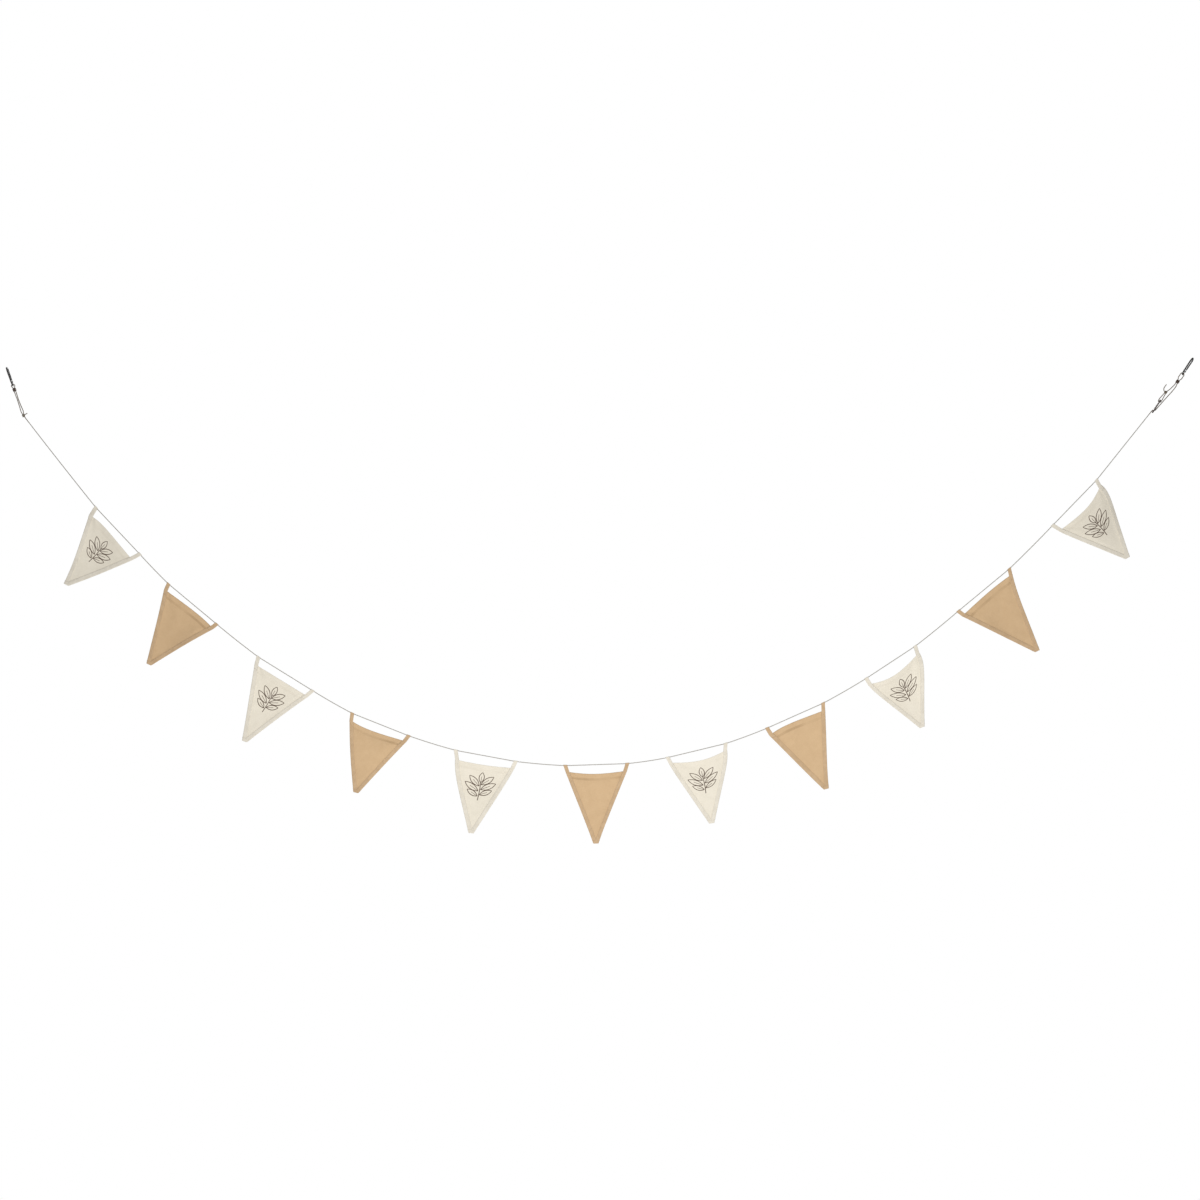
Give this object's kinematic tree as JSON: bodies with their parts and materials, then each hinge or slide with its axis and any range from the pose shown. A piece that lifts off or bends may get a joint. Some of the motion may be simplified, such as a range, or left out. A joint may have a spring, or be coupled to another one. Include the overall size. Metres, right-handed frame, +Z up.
{
  "type": "bunting",
  "caption": "String of cloth pennants hung by tape loops from a cord, with a snap hook at each end and a wooden slider that takes up slack.",
  "frame": {"origin": "the inside of the left snap hook's top bend, the point that it hangs by", "axes": "+X along the string towards the right hook, +Y away from the viewer, +Z up"},
  "size_m": [3.92, 0.0337, 1.6037],
  "materials": {
    "cream": "undyed woven cotton with a small dark grey-brown printed sprig",
    "cream_tape": "undyed woven cotton tape, stitched near its edge",
    "tan": "plain woven cotton",
    "tan_tape": "woven cotton tape, stitched near its edge",
    "cord": "pale twisted cotton cord",
    "wood": "dark stained wood, satin",
    "hook": "dark grey plated steel, satin"
  },
  "bodies": {
    "string": {"hook_left": "hook", "collar_left": "wood", "cord_eye": "cord", "knot_left": "cord", "cord": "cord", "pennant_01_panel": "cream", "pennant_01_tape": "cream_tape", "pennant_02_panel": "tan", "pennant_02_tape": "tan_tape", "pennant_03_panel": "cream", "pennant_03_tape": "cream_tape", "pennant_04_panel": "tan", "pennant_04_tape": "tan_tape", "pennant_05_panel": "cream", "pennant_05_tape": "cream_tape", "pennant_06_panel": "tan", "pennant_06_tape": "tan_tape", "pennant_07_panel": "cream", "pennant_07_tape": "cream_tape", "pennant_08_panel": "tan", "pennant_08_tape": "tan_tape", "pennant_09_panel": "cream", "pennant_09_tape": "cream_tape", "pennant_10_panel": "tan", "pennant_10_tape": "tan_tape", "pennant_11_panel": "cream", "pennant_11_tape": "cream_tape", "slider": "wood", "knot_right": "cord", "collar_right": "wood", "hook_right": "hook"},
    "left_gate": {"gate_left": "hook"},
    "right_gate": {"gate_right": "hook"}
  },
  "joints": [
    {"name": "left_gate_hinge", "type": "hinge", "parent": "string", "child": "left_gate", "pos_m": [0.01522, 0.0136, -0.04341], "axis": [0.9437, 0, 0.3309], "range_deg": [0, 25], "stiffness_Nm_per_rad": 0.05, "springref_deg": -22.92},
    {"name": "right_gate_hinge", "type": "hinge", "parent": "string", "child": "right_gate", "pos_m": [3.88948, 0.01301, -0.00947], "axis": [0.7955, -0.2924, -0.5307], "range_deg": [0, 25], "stiffness_Nm_per_rad": 0.05, "springref_deg": -22.92}
  ]
}
